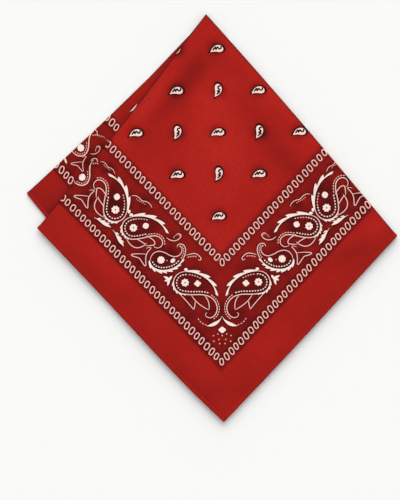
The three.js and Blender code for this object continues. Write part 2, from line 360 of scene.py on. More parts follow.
# the inked shapes of one figure of the print
class Motif:
    def __init__(self):
        self.shapes = []

    def add(self, ink, polygons):
        self.shapes += [(ink, polygon) for polygon in polygons if len(polygon) > 2]

    # a line of even width that thins at its ends
    def stroke(self, line, width=1.1, ink="line", taper=0.5, edged=True):
        last = len(line) - 1
        full = [min(1, penTip["grow"] * min(i, last - i) / last + penTip["start"]) for i in range(last + 1)]
        half = [width / 2 * lerp(taper, 1, share) for share in full]
        self.add(ink, ribbon(line, half, half))
        if edged:
            self.add("shade", ribbon(line, [w + halo for w in half], [w + halo for w in half]))

    # a line that swells to its full width part of the way along
    def brush(self, line, width, peak=0.5, ink="fill"):
        last = len(line) - 1
        power = math.log(0.5) / math.log(peak)
        full = [max(penTip["thin"], math.sin(math.pi * (i / last) ** power)) for i in range(last + 1)]
        half = [width / 2 * share for share in full]
        self.add(ink, ribbon(line, half, half))
        self.add("shade", ribbon(line, [w + halo for w in half], [w + halo for w in half]))

    # short strokes along a line
    def dashes(self, line, long, gap, width, ink="line"):
        walked = [0]
        for a, b in zip(line, line[1:]):
            walked.append(walked[-1] + math.dist(a, b))
        xs, ys = [p[0] for p in line], [p[1] for p in line]
        start = 0
        while start + long <= walked[-1]:
            ends = [(np.interp(w, walked, xs), np.interp(w, walked, ys)) for w in (start, start + long)]
            self.add(ink, ribbon(ends, [width / 2] * 2, [width / 2] * 2))
            start += long + gap

    # round, lobed or pointed shapes about a centre
    def disc(self, x, y, wide, high, turn=0.0, petals=0, depth=0.0, ink="fill", edge=halo, sides=14):
        angle = math.radians(turn)
        for name, grow in ((ink, 0), ("shade", edge)):
            if name == "shade" and not edge:
                continue
            ring = []
            for k in range(sides):
                a = 2 * math.pi * k / sides
                lobe = 1 + depth * math.cos(petals * a)
                dx, dy = (wide + grow) * lobe * math.cos(a), (high + grow) * lobe * math.sin(a)
                ring.append((x + dx * math.cos(angle) - dy * math.sin(angle),
                             y + dx * math.sin(angle) + dy * math.cos(angle)))
            self.add(name, [ring])

    # a feathered edge beside a line, on its left or right, its barbs leaning along it
    def crest(self, line, number, base, reach, lean=1.4, left=False):
        count = len(line) - 1
        sign = -1 if left else 1
        normals = [(nx * sign, ny * sign) for nx, ny in normalsOf(line)]
        for name, grow in (("fill", 0), ("shade", halo)):
            for k in range(number):
                first, end = round(k * count / number), round((k + 1) * count / number)
                share = min(barbs["last"], lerp(barbs["first"], 1, (k + 0.5) / number))
                size = math.sin(math.pi * share) ** barbs["round"]
                inner, outer = [], []
                for i in range(first, end + 1):
                    f = (i - first) / (end - first)
                    thick = lerp(base, reach, f) * size + grow
                    nx, ny = normals[i]
                    inner.append((line[i][0] + nx * grow, line[i][1] + ny * grow))
                    outer.append((line[i][0] - nx * thick, line[i][1] - ny * thick))
                nx, ny = normals[end]
                tip = (outer[-1][0] + ny * lean * sign, outer[-1][1] - nx * lean * sign)
                pairs = list(zip(inner, outer))
                for (a, b), (c, d) in zip(pairs, pairs[1:]):
                    self.add(name, [wrapped([a, b, d, c])])
                self.add(name, [wrapped([outer[-2], outer[-1], inner[-1], tip])])

    # the motif flipped, turned and moved onto the cloth
    def placed(self, x, y, turn=0.0, size=1.0, flip=False):
        angle = math.radians(turn)
        moved = []
        for ink, polygon in self.shapes:
            points = []
            for px, py in polygon:
                dx, dy = px * size, (-py if flip else py) * size
                points.append((x + dx * math.cos(angle) - dy * math.sin(angle),
                               y + dx * math.sin(angle) + dy * math.cos(angle)))
            moved.append((ink, points))
        return moved


# tails of the large paisleys: long with a full curl, or short
tails = {
    "long": [(10, -20), (16, -64), (11, -60), (7.6, -74), (5, -120)],
    "short": [(8, -24), (7, -50), (6, -60), (6, -64), (4, -50)],
}


# a large paisley about its flower: round head at the left, feathered back, tail at the right
def largePaisley(tail="long"):
    m = Motif()
    line = pen(4, 11.6, 180, (6, 8), (33, 164), (8, 8), (7.6, 4), *tails[tail])
    back = arc(0, -14, 32, 25.2, 88, 6, 32)
    m.add("soft", [wrapped(stretch(line, 0, 0.56) + stretch(back, 0, 0.86))])
    # outline, a black line inside it and a row of dashes inside that
    m.stroke(line, 1.15)
    inner = stretch(beside(line, 1.5), 0, 0.97 if tail == "short" else 0.86)
    m.stroke(inner, 1.25, ink="black", edged=False)
    m.dashes(stretch(beside(line, 3.1), 0.02, 0.62), 1.5, 1.35, 1.15, ink="fill")
    m.dashes(stretch(beside(line, 2.2), 0.64, 0.88), 1.8, 1.0, 0.9)
    # the same along the back, then its feathers and the small ones round the head
    m.stroke(stretch(beside(back, -0.7), 0.06, 0.94), 1.1, ink="black", edged=False)
    m.dashes(stretch(beside(back, -2.6), 0.06, 0.4), 1.5, 1.35, 1.0)
    m.crest(back, 4, 1.5, 4.2, lean=2.2, left=True)
    m.crest(stretch(line, 0.2, 0.4), 5, 0.7, 2.2, lean=0.7)
    m.disc(0.5, 13.6, 1.9, 1.5)
    # two flowers
    m.disc(0, 0, 3.8, 3.8, turn=10, petals=8, depth=0.13, sides=32)
    m.disc(0, 0, 0.8, 0.8, ink="heart", edge=0, sides=8)
    m.disc(12.9, -0.6, 3.2, 3.0, turn=8, petals=4, depth=0.16 if tail == "long" else 0.04, sides=20)
    # leaves or loops under the tail
    if tail == "long":
        m.stroke(pen(-4, -13, -44, (20, -6)), 1.0)
        m.stroke(pen(9.6, -27.6, 72, (8.6, 18)), 1.0)
        m.stroke(pen(7, -13, -58, (8.5, 16), (15, 20)), 1.0)
        m.stroke(pen(25.4, -27.2, 84, (7, 20), (8, 34)), 1.0)
    else:
        m.stroke(pen(-9.2, -9.4, -80, (10, 32), (8, 52), (8.4, 32)), 1.05)
        m.stroke(pen(1, -12, -38, (11, -10)), 1.0)
        m.stroke(pen(11.6, -10.6, -38, (8, -12), (4.5, -50), (2, -80), (8.4, -12)), 1.05)
    return m


# three pointed lobes on a short stem
def fleuron():
    m = Motif()
    for turn, long in ((138, 6.6), (186, 5.4), (240, 7.0), (36, 4.6)):
        m.brush(pen(0, 0, turn, (long * 0.5, 12), (long * 0.5, -16)), 2.7, peak=0.45)
    m.disc(0, 0, 1.5, 1.5)
    return m


# a smaller paisley with its feathered edge below and a tail that curls up
def smallPaisley():
    m = Motif()
    top = pen(-11.2, -0.6, 88, (7.6, -42), (7.6, -50), (7.6, -28), (7, 14), (5, 38), (5, 38), (5, 42),
              (3.6, 90))
    m.stroke(top, 1.0)
    line = pen(-11.2, -0.6, -88, (7.5, 50), (9, 34), (10, 22), (9.5, 24), (9, 22), (8.5, 30), (6.5, 64),
               (4.5, 66), (2.5, 60))
    m.add("soft", [wrapped(stretch(top, 0, 0.4) + stretch(line, 0, 0.56))])
    m.crest(stretch(line, 0.0, 0.6), 8, 1.6, 3.7, lean=1.2)
    m.stroke(stretch(beside(line, 1.1), 0, 0.92), 1.2, ink="black", edged=False)
    m.dashes(stretch(beside(line, 2.4), 0.02, 0.58), 1.45, 1.3, 1.15, ink="fill")
    m.dashes(stretch(beside(line, 1.9), 0.6, 0.94), 1.5, 1.0, 0.8)
    m.stroke(stretch(line, 0.56, 1), 1.05)
    m.disc(0, 0, 3.7, 3.7, petals=9, depth=0.1, sides=36)
    m.disc(12.2, -0.8, 2.8, 2.0, turn=42)
    m.disc(6.2, -0.7, 0.6, 0.6, ink="line", edge=0, sides=7)
    # a loose curl off the tail
    m.stroke(pen(26.4, 4.6, 20, (6, -8), (6, -48), (5, -24), (2.6, -110), (2.5, -70)), 1.0)
    m.dashes(pen(27.6, 2.6, 14, (6, -10), (5, -40)), 1.6, 0.9, 0.9)
    return m


# a flat curl with dashes inside it
def curl():
    m = Motif()
    m.stroke(pen(0, 0, -46, (6, 30), (6, 40), (5, 38), (3, 80), (3.4, 60)), 1.0)
    m.dashes(pen(7.2, -0.4, 70, (4, -40), (4, -70), (2, -70)), 1.1, 0.8, 0.75)
    return m


# an outlined leaf with three rounded points
def sprig():
    m = Motif()
    outline = pen(6, 3.4, 172, (15, 14), (2.2, 150), (6, 12), (3, -44), (8, 0), (2.4, 152), (7, -10),
                  (7, -32), (4, -14), (2.2, 140), (4, 30))
    m.stroke(outline, 1.0)
    return m


# a leaf as one brush stroke with three barbs
def brushLeaf():
    m = Motif()
    m.brush(pen(-7, 8, -50, (9, -10), (11, 4)), 3.4, peak=0.62)
    for x, y in ((-4.4, 5.6), (-1.8, 1.6), (0.6, -2.4)):
        m.brush(pen(x, y, -22, (4.6, -22)), 1.5, peak=0.4)
    m.stroke(pen(-7.6, 5.6, -52, (9, -10), (9, 4)), 0.9, ink="black", edged=False)
    return m


# a wavering line with a few dashes below it
def squiggle():
    m = Motif()
    m.stroke(pen(-9, 6, 25, (4, -40), (6, -40), (5, 50), (6, -40), (5, -30)), 0.9)
    m.dashes(pen(-4, 3.4, -60, (5, 40), (6, -20)), 1.0, 1.0, 0.7)
    return m


# a flower in a hollow drop that is open on one side, with a row of dashes inside
def hollowDrop():
    m = Motif()
    line = pen(-9, -3, -62, (10, 56), (9, 70), (8, 26), (6, -8), (9, -42))
    m.stroke(line, 1.3)
    m.dashes(stretch(beside(line, 2.1), 0.08, 0.74), 1.3, 1.2, 0.95)
    m.stroke(stretch(beside(line, 1.2), 0.0, 0.8), 0.7, ink="black", edged=False)
    m.disc(0, 0, 3.5, 3.7, petals=8, depth=0.06, sides=32)
    m.stroke(pen(10, 16.4, 60, (4, -50), (4, -70), (3, -60)), 0.9)
    m.dashes(pen(12, 13, 20, (7, -60)), 1.3, 0.9, 0.9)
    return m


# the small filled drops of the field
def fieldDrop():
    m = Motif()
    outline = pen(-7, -4.9, 72, (6.5, -22), (8, -56), (6.5, -62), (4.5, -84), (4.5, -40), (4, 12),
                  (5.5, 16))
    centre = (0.6, -1)
    for ink, size in (("shade", 1.32), ("black", 1.14), ("drop", 0.97)):
        ring = [(lerp(centre[0], x, size), lerp(centre[1], y, size)) for x, y in outline[:-1]]
        m.add(ink, [ring])
    for x, y, heading, runs in (
            (-3.9, -2.5, 56, [(5.0, -14)]), (-1.5, 1.8, -72, [(4.0, 12)]), (-0.6, -2.1, 64, [(4.2, -10)]),
            (1.3, 1.7, -66, [(3.0, 30), (3.0, 110), (2.0, 40)])):
        m.stroke(pen(x, y, heading, *runs), 1.85, ink="mark", edged=False, taper=0.95)
    return m


# the edge of a field drop that a fold mostly hides
def sliver():
    m = Motif()
    m.brush(pen(-3.4, -4.4, 40, (5.6, 16), (5.6, 16)), 1.5)
    return m


# a bracket of two wings over a diamond and a fan of dots
def cornerPiece():
    m = Motif()
    for flip in (-1, 1):
        wing = [(flip * x, y) for x, y in pen(0.5, 108.6, -72, (6, 32), (7, 20), (6, 16))]
        m.brush(wing, 3.4, peak=0.6)
        m.dashes([(flip * x, y) for x, y in pen(24.8, 106.8, -116, (5, -22), (9, -40))], 1.8, 1.5, 0.8)
        for reach, turns in ((7, (0, 40)), (11.5, (18, 52)), (15.5, (10, 34))):
            for turn in turns:
                angle = math.radians(turn - 90)
                x, y = flip * reach * math.cos(angle), 96 + reach * math.sin(angle)
                m.disc(x, y, 0.7, 0.7, ink="line", edge=0, sides=7)
    m.disc(0, 94.8, 3.5, 3.0, petals=4, depth=0.14, sides=16)
    return m


# a place along a chain, up the right side for a flip of 1 and up the left for -1
def chainPlace(apex, flip, along):
    return apex[0] + flip * along * math.sin(cornerHalfAngle), apex[1] + along * math.cos(cornerHalfAngle)


# one chain of ovals up one side; the one at the corner belongs to the left side
def ovalChain(apex, lean, flip):
    shapes = []
    for k in range(0 if flip < 0 else 1, border["count"]):
        along = k * border["pitch"] + random.uniform(-border["pitchPlay"], border["pitchPlay"]) * (k > 0)
        long = border["long"] + random.uniform(*border["longPlay"])
        short = border["short"] + random.uniform(*border["shortPlay"])
        oval = Motif()
        oval.disc(0, 0, short, long, petals=4, depth=border["square"], ink="line", edge=border["shade"],
                  sides=16)
        oval.disc(0, 0, short - border["line"], long - border["line"], ink="heart", edge=0, sides=10)
        turn = border["cornerLean"]
        if k > 0:
            turn = flip * (lean + random.uniform(-border["leanPlay"], border["leanPlay"]))
        shapes += oval.placed(*chainPlace(apex, flip, along), turn)
    return shapes


# thin dark rules that run along both sides of a chain
def chainRules(apex, flip):
    rules = Motif()
    for offset in border["rules"]:
        start = offset / math.tan(cornerHalfAngle)
        steps = [start + k * border["pitch"] for k in range(border["count"])]
        line = [chainPlace(apex, flip, along) for along in steps]
        rules.stroke(beside(line, flip * offset), border["ruleWide"], ink="rule", edged=False)
    return rules.shapes


# the left half of the band, from the corner up; the right half mirrors it
bandLayout = [
    {"motif": largePaisley(), "x": -37.8, "y": 143.8, "turn": -2, "gloom": 19},
    {"motif": fleuron(), "x": -54, "y": 147.4, "turn": 8},
    {"motif": smallPaisley(), "x": -62.4, "y": 167.4, "turn": 0, "gloom": 15},
    {"motif": curl(), "x": -56.4, "y": 190.4, "turn": 0},
    {"motif": sprig(), "x": -83.0, "y": 170.0, "turn": 0},
    {"motif": largePaisley("short"), "x": -90.5, "y": 200.8, "turn": 11, "gloom": 19},
    {"motif": brushLeaf(), "x": -104.6, "y": 190.6, "turn": 0},
    {"motif": squiggle(), "x": -83, "y": 227.5, "turn": 0},
    {"motif": largePaisley("short"), "x": -108.8, "y": 219.5, "turn": 80, "flip": True, "size": 1.04,
     "gloom": 20},
    {"motif": brushLeaf(), "x": -121, "y": 207.6, "turn": 26},
    {"motif": sprig(), "x": -141.6, "y": 230.4, "turn": -4},
    {"motif": squiggle(), "x": -117.5, "y": 263, "turn": -10, "size": 0.8},
]

# where the band's ground stays dark past them, out to the folds
farGloom = [
    {"x": -149, "y": 254, "turn": 20, "gloom": 14},
    {"x": -133, "y": 268, "turn": 40},
    {"x": -164, "y": 284, "turn": 170},
    {"x": -186, "y": 262, "turn": 60},
]


# what lies across the front fold, on the front and third layers alike, about the pile's middle
acrossLayout = [
    {"motif": hollowDrop(), "x": -133.8, "y": 42.0, "turn": 4},
    {"motif": sprig(), "x": -137.4, "y": 54.6, "turn": 6, "size": 0.8},
]

# the strip of the third layer beside it
stripLayout = [
    {"motif": hollowDrop(), "x": -135.4, "y": 72.4, "turn": 0},
    {"motif": curl(), "x": -125.4, "y": 66.4, "turn": 30, "size": 0.8},
    {"motif": squiggle(), "x": -106, "y": 76, "turn": -20, "size": 0.55},
    {"motif": squiggle(), "x": -116, "y": 84, "turn": 10, "size": 0.45},
    {"motif": brushLeaf(), "x": -151, "y": 60, "turn": -12, "size": 0.45},
    {"motif": sliver(), "x": -35.2, "y": 169.4, "turn": 0},
    {"motif": sliver(), "x": -81.0, "y": 113.4, "turn": -8},
]


# every motif of a layout, in its place
def laidOut(layout):
    shapes = []
    for place in layout:
        size, flip = place.get("size", 1), "flip" in place
        shapes += place["motif"].placed(place["x"], place["y"], place["turn"], size, flip)
    return shapes


# where the drops of the field stand, and which ones are upright
def fieldPlaces():
    places = []
    for row in range(field["rows"]):
        for column in range(-row, row + 1):
            x, y = column * field["columnStep"], field["firstRow"] + row * field["rowStep"]
            if (row + column) % 2:
                places.append((x, y + field["standing"], True))
            else:
                places.append((x + field["lying"], y, False))
    return places


# the print of a quarter, without its chains
def quarterPrint():
    half = laidOut(bandLayout)
    shapes = [(ink, [(bandAxis + flip * px, py) for px, py in polygon])
              for flip in (1, -1) for ink, polygon in half]
    shapes += cornerPiece().placed(bandAxis, 0)
    drop = fieldDrop()
    for x, y, standing in fieldPlaces():
        shapes += drop.placed(x, y, 90 if standing else 0, field["size"], standing)
    return shapes


# the two chains, up both sides
def bothChains():
    shapes = []
    for apex, lean in zip(border["apexes"], border["leans"]):
        for flip in (-1, 1):
            shapes += ovalChain(apex, lean, flip) + chainRules(apex, flip)
    return shapes


# the cloth is one sheet, cut along every line of the print so that each face has one ink
cloth = {
    "edge": 277.2,          # half side of the sheet inside its hems
    "step": 3.0,            # between points, on the near side of the folds
    "farStep": 3.9,         # on the far side
    "foldStep": 0.45,       # round a fold
    "hiddenFrom": 8,        # this far into the hidden second quarter every other point is left out
    "mergeWithin": 0.002,   # points closer than this become one
}


# places of the sheet's points in one direction, close together round the fold
def stepsAcross(radius, near, far):
    quarter = math.pi * radius / 2
    steps = []
    value = -cloth["edge"]
    while value < -quarter - near:
        steps.append(value)
        value += near
    value = -quarter
    while value < quarter - cloth["foldStep"] / 2:
        steps.append(value)
        value += cloth["foldStep"]
    value = quarter
    while value < cloth["edge"] - far / 2:
        steps.append(value)
        value += far
    steps.append(cloth["edge"])
    return steps


# where each layer's print goes: its frame, its plan, and which side of each fold it lies
printLayers = {
    "front": {"frame": "front", "plan": frontPlan, "beyondRight": False, "beyondLeft": False},
    "under": {"frame": "back", "plan": backPlan, "beyondRight": True, "beyondLeft": False},
    "third": {"frame": "back", "plan": backPlan, "beyondRight": True, "beyondLeft": True},
}


# where shapes are left off: under the front layer, as a share of its depth, too near the
# sheet's edge, or wholly past a fold
cutOff = {"underFront": 0.05, "fromEdge": 0.5, "pastFold": 1}


# the shapes of one layer's print, laid on the flat sheet
def flatShapes(name, shapes, onPlan=False):
    layer = printLayers[name]
    counts = [len(polygon) for _, polygon in shapes]
    points = np.array([point for _, polygon in shapes for point in polygon])
    px, py = points[:, 0], points[:, 1]
    if not onPlan:
        px, py = toPlan(layer["frame"], px, py)
    s, t = findIn(layer["plan"], px, py)
    rightRadius = pile["innerFold"] if layer["beyondLeft"] else pile["outerFold"]
    u = unfold(s, rightRadius, layer["beyondRight"])
    v = unfold(t, pile["innerFold"], layer["beyondLeft"])
    frontT = findIn(frontPlan, px, py)[1]
    flat = []
    start = 0
    for (ink, _), count in zip(shapes, counts):
        block = slice(start, start + count)
        start += count
        if name == "third" and frontT[block].min() > cutOff["underFront"]:
            continue
        polygon = np.stack([u[block], v[block]], axis=1)
        if np.abs(polygon).max() > cloth["edge"] - cutOff["fromEdge"]:
            continue
        if name == "front" and polygon.min(axis=0).max() > cutOff["pastFold"]:
            continue
        if name == "under" and ink in ("soft", "rule", "shade"):
            continue
        x, y = polygon[:, 0], polygon[:, 1]
        area = np.sum(x * np.roll(y, -1) - np.roll(x, -1) * y)
        flat.append((name, ink, polygon if area > 0 else polygon[::-1]))
    return flat


# all the shapes of ink on the three layers that show or rest on the floor
def sheetCuts():
    quarter, chains = quarterPrint(), bothChains()
    cuts = []
    for name in printLayers:
        found = flatShapes(name, chains)
        if name != "third":
            found += flatShapes(name, quarter)
        if name != "under":
            layout = acrossLayout + (stripLayout if name == "third" else [])
            found += flatShapes(name, laidOut(layout), onPlan=True)
        print("print on the", name, "layer:", len(found), "shapes")
        cuts += found
    return cuts


# how dark the ground is under the band, as shares, and where, in millimetres from the hems
band = {
    "outer": 42.8,          # the two chains
    "inner": 113.6,
    "reach": 6.2,           # how far the ground runs past them
    "fade": 0.8,            # how softly it starts and ends
    "even": 0.48,           # all over
    "outward": 0.3,         # more towards the outer chain
    "beside": 0.2,          # more in a line along each chain
    "besideWide": 6,
    "round": 0.46,          # more round each motif and at the corner
    "plainReach": 8,        # for a motif that states no gloom of its own
    "cornerDark": 112,      # from the free corner
    "cornerReach": 20,
}

# painted light and shade along the cloth's soft folds: painted highlights above zero, painted shade below
paintedLightAndShade = [
    {"x": -26, "y": 142, "along": 30, "across": 12, "turn": 60, "rise": -0.9},
    {"x": 44, "y": 99, "along": 30, "across": 14, "turn": -35, "rise": -0.55},
    {"x": 10, "y": 154, "along": 30, "across": 12, "turn": -10, "rise": -0.4},
    {"x": -50, "y": 112, "along": 24, "across": 9, "turn": 50, "rise": -0.4},
    {"x": 12, "y": -178, "along": 32, "across": 14, "turn": 0, "rise": -0.35},
    {"x": 8, "y": 66, "along": 64, "across": 30, "turn": 84, "rise": 0.75},
    {"x": 0, "y": 116, "along": 26, "across": 16, "turn": 60, "rise": 0.35},
    {"x": -70, "y": 112, "along": 46, "across": 7, "turn": 52, "rise": 0.45},
    {"x": 60, "y": 128, "along": 60, "across": 6, "turn": -48, "rise": 0.4},
    {"x": -104, "y": -50, "along": 44, "across": 12, "turn": -46, "rise": 0.3},
    {"x": -22, "y": -184, "along": 30, "across": 12, "turn": -46, "rise": -0.5},
    {"x": 142, "y": -34, "along": 26, "across": 12, "turn": 30, "rise": -0.55},
    {"x": 78, "y": 57, "along": 36, "across": 13, "turn": -47, "rise": -0.45},
    {"x": 84, "y": -60, "along": 30, "across": 10, "turn": 48, "rise": 0.3},
    {"x": 170, "y": -6, "along": 16, "across": 10, "turn": 40, "rise": 0.4},
]


# steady differences of tone, in the same measure as the painted light and shade table: most are painted
# shade, the dark round the drops is print
tones = {
    "margin": -0.17,        # outside the band
    "marginFade": 3,
    "hemSide": -0.45,       # painted shade towards the hems
    "hemWide": 11,
    "strip": -0.34,         # painted shade on the third layer, lower beside the front fold
    "foldLine": -2.3,       # painted shade along the line of each fold
    "rightWide": 2.9,
    "leftWide": 1.15,
    "roundDrops": -2.3,     # soft dark round each drop of the field
    "dropsWide": 7.0,
    "besideFold": -0.75,    # painted shadow on the third layer, where the front fold rests on it
    "besideWide": 3.0,
}


# the steady tone of each place: darker outside the band, painted shade towards its hems, along its folds,
# on the third layer and where the front fold rests on it, and the printed dark round the drops near it
def tonesOf(u, v, x, y, sides):
    depth = np.minimum(*sides)
    tone = tones["margin"] / (1 + np.exp((depth - band["outer"]) / tones["marginFade"]))
    tone = tone + tones["hemSide"] * np.exp(-depth / tones["hemWide"])
    # painted shade along the line of each fold
    paintedFoldShade = np.exp(-(u / tones["rightWide"]) ** 4) + np.exp(-(v / tones["leftWide"]) ** 4)
    tone = tone + tones["foldLine"] * paintedFoldShade
    printX, printY = printPlace(*sides)
    for dropX, dropY, _ in fieldPlaces():
        apart = np.hypot(printX - dropX, printY - dropY) / tones["dropsWide"]
        tone = tone + np.where(v < 0, tones["roundDrops"] * np.exp(-apart ** 2), 0)
    # painted shadow on the third layer, fading away from the front fold
    outside = -findIn(frontPlan, x, y)[1] * spanOf(pile["innerFold"])
    third = (u > 0) & (v > 0)
    near = tones["besideFold"] * np.exp(-np.clip(outside, 0, None) / tones["besideWide"])
    return tone + np.where(third, tones["strip"] + near, 0)


# how dark the band's ground is, for distances along the two hems
def bandGround(alongRight, alongLeft):
    depth = np.minimum(alongRight, alongLeft)
    rise = 1 / (1 + np.exp(-(depth - band["outer"] + band["reach"]) / band["fade"]))
    fall = 1 / (1 + np.exp((depth - band["inner"] - band["reach"]) / band["fade"]))
    inward = (depth - band["outer"]) / (band["inner"] - band["outer"])
    dark = band["even"] + band["outward"] * (1 - inward)
    for line in (band["outer"], band["inner"]):
        dark = dark + band["beside"] * np.exp(-((depth - line) / band["besideWide"]) ** 4)
    x, y = printPlace(alongRight, alongLeft)
    x = x - bandAxis
    near = np.exp(-(x ** 2 + (y - band["cornerDark"]) ** 2) / band["cornerReach"] ** 2)
    for place in bandLayout + farGloom:
        reach = place.get("gloom", band["plainReach"])
        ahead = math.radians(place["turn"])
        middleX = place["x"] + reach / 3 * math.cos(ahead)
        middleY = place["y"] + reach / 3 * math.sin(ahead)
        apart = np.hypot(-abs(x) - middleX, y - middleY) / reach
        near = np.maximum(near, np.exp(-apart ** 3))
    return rise * fall * np.clip(dark + band["round"] * near, 0, 1)


# one number for each point of a mesh, for its material to read
def addValues(mesh, name, values):
    made = mesh.attributes.new(name, "FLOAT", "POINT")
    made.data.foreach_set("value", np.asarray(values, dtype=np.float32))


# which quarter a place on the flat sheet folds into
def layerAt(u, v):
    if u < 0:
        return "front" if v < 0 else "second"
    return "under" if v < 0 else "third"


# the plain points of the sheet, closest round its folds
def sheetPoints():
    points = []
    across = stepsAcross(pile["outerFold"], cloth["step"], cloth["farStep"])
    for u in across:
        for v in across:
            hidden = v > cloth["hiddenFrom"] and u < -cloth["hiddenFrom"]
            if hidden and (round(u) + round(v)) % 2:
                continue
            points.append(Vector((u, v)))
    return points


# each face takes the top ink of the shapes it lies in
def layInk(mesh, uv, cuts, sources):
    paint = mesh.color_attributes.new("ink", "BYTE_COLOR", "CORNER")
    where = mesh.uv_layers.new(name="flatCloth")
    for face, origins in zip(mesh.polygons, sources):
        u, v = uv[list(face.vertices)].mean(axis=0)
        layer = layerAt(u, v)
        best = None
        for origin in origins:
            name, ink, _ = cuts[origin]
            if name == layer and (best is None or inks[ink]["order"] > inks[best]["order"]):
                best = ink
        mask = inks[best]["mask"] if best else (0, 0, 0)
        for loop in face.loop_indices:
            vertex = mesh.loops[loop].vertex_index
            paint.data[loop].color = (*mask, 1)
            where.data[loop].uv = uv[vertex] * mm


def buildCloth():
    points = sheetPoints()
    edge = cloth["edge"]
    lines = []
    folds = [(-edge, 0, edge, 0), (0, -edge, 0, edge)]
    rims = [(-edge, -edge, edge, -edge), (edge, -edge, edge, edge), (edge, edge, -edge, edge),
            (-edge, edge, -edge, -edge)]
    for line in folds + rims:
        lines.append((len(points), len(points) + 1))
        points += [Vector(line[:2]), Vector(line[2:])]
    cuts = sheetCuts()
    faces = []
    for _, _, polygon in cuts:
        faces.append(list(range(len(points), len(points) + len(polygon))))
        points += [Vector(p) for p in polygon]
    flat, _, triangles, _, _, sources = delaunay_2d_cdt(points, lines, faces, 0, cloth["mergeWithin"])
    print("cloth:", len(points), "points in,", len(flat), "out,", len(triangles), "faces")
    uv = np.array([tuple(p) for p in flat])
    x, y, z = clothPoint(uv[:, 0], uv[:, 1])
    mesh = bpy.data.meshes.new("printedCloth")
    mesh.from_pydata(np.stack([x, y, z], axis=1) * mm, [], [tuple(t) for t in triangles])
    mesh.shade_smooth()
    sides = np.where(uv[:, 0] < 0, hemDistances("front", x, y), hemDistances("back", x, y))
    addValues(mesh, "band", bandGround(*sides))
    # painted light and shade for each point, with its other steady tones
    addValues(mesh, "shadeAndTone", rises(paintedLightAndShade, x, y) + tonesOf(uv[:, 0], uv[:, 1], x, y, sides))
    layInk(mesh, uv, cuts, sources)
    piece = bpy.data.objects.new("bandanaCloth", mesh)
    bpy.context.scene.collection.objects.link(piece)
    return piece


bandanaCloth = buildCloth()


# one rolled hem along each side of the square, carried round its fold
hem = {
    "width": 4.4,
    "thick": 0.9,           # three plies
    "step": 3.0,            # between stations along it
    "ring": 14,             # points round it
    "foldSteps": 12,        # stations round a fold
    "squareSides": 0.6,     # below 1 the hem's section is squarer than an ellipse
    "squareFaces": 0.8,     # the same for its upper and lower faces
    "pucker": ((0.06, 1.9), (0.05, 0.47)),  # height and pace of its two ripples
    "stitchPitch": 2.7,
    "stitchHalf": (0.85, 0.24, 0.16),   # half length, width and height of one stitch
    "stitchInset": 3.7,     # from the hem's edge
    "stitchSeat": 0.42,     # sunk a little below the hem's face, as a share of its thickness
    "stitchCrown": 1.6,     # its crown, in its half heights
    "stitchEnd": 2,         # clear at each end
    "tone": -0.4,           # a little darker than the cloth, most of all at its edge
    # painted shade along the hem's rolled outer edge
    "edgeShade": -1.3,
    "edgeWide": 0.5,        # how far in that edge reaches
}


# places along a hem, close together where it goes round its fold
def hemStations(alongRight):
    radius = pile["outerFold"] if alongRight else pile["innerFold"]
    quarter = math.pi * radius / 2
    stations = list(np.arange(-pile["half"], -quarter, hem["step"]))
    stations += list(np.arange(-quarter, quarter, 2 * quarter / hem["foldSteps"]))
    stations += list(np.arange(quarter, pile["half"], hem["step"]))
    return np.array(stations + [pile["half"]])


# where on the flat sheet a hem's point lies
def hemPoint(name, along, inset):
    edge = pile["half"] - inset
    if name in ("topLeftHem", "underLeftHem"):
        return (-edge if name == "topLeftHem" else edge), along
    return along, (-edge if name == "topRightHem" else edge)


# the direction straight out of the cloth's printed face, from two short steps along it
def surfaceNormal(u, v):
    reach = 0.05
    du = np.array(clothPoint(u + reach, v)) - np.array(clothPoint(u - reach, v))
    dv = np.array(clothPoint(u, v + reach)) - np.array(clothPoint(u, v - reach))
    normal = np.cross(du, dv, axis=0)
    return normal / np.linalg.norm(normal, axis=0)


# short running stitches that stand a little proud, on both faces of a hem
def stitches(name, trim, firstIndex):
    reach = pile["half"] - trim - hem["stitchEnd"]
    centres = np.arange(-reach, reach, hem["stitchPitch"])
    centres = centres[np.abs(centres) > pile["outerFold"] * 2]  # none round the fold
    u, v = hemPoint(name, centres, hem["stitchInset"])
    u, v = np.asarray(u) + 0 * centres, np.asarray(v) + 0 * centres
    ahead = hemPoint(name, centres + 0.5, hem["stitchInset"])
    middle = np.array(clothPoint(u, v))
    along = np.array(clothPoint(ahead[0] + 0 * u, ahead[1] + 0 * v)) - middle
    along = along / np.linalg.norm(along, axis=0)
    normal = surfaceNormal(u, v)
    across = np.cross(along, normal, axis=0)
    long, wide, high = hem["stitchHalf"]
    points, faces = [], []
    for face in (1, -1):
        up = normal * face
        seat = middle + up * hem["thick"] * hem["stitchSeat"]
        ring = [seat + along * long, seat + across * wide, seat - along * long, seat - across * wide]
        block = np.stack(ring + [seat + up * high * hem["stitchCrown"], seat - up * high], axis=0)
        block = block.transpose(2, 0, 1).reshape(-1, 3)
        start = firstIndex + sum(len(b) for b in points)
        points.append(block)
        for i in range(len(centres)):
            base = start + i * 6
            for k in range(4):
                a, b = base + k, base + (k + 1) % 4
                faces.append((a, b, base + 4) if face > 0 else (b, a, base + 4))
                faces.append((b, a, base + 5) if face > 0 else (a, b, base + 5))
    return np.concatenate(points), faces


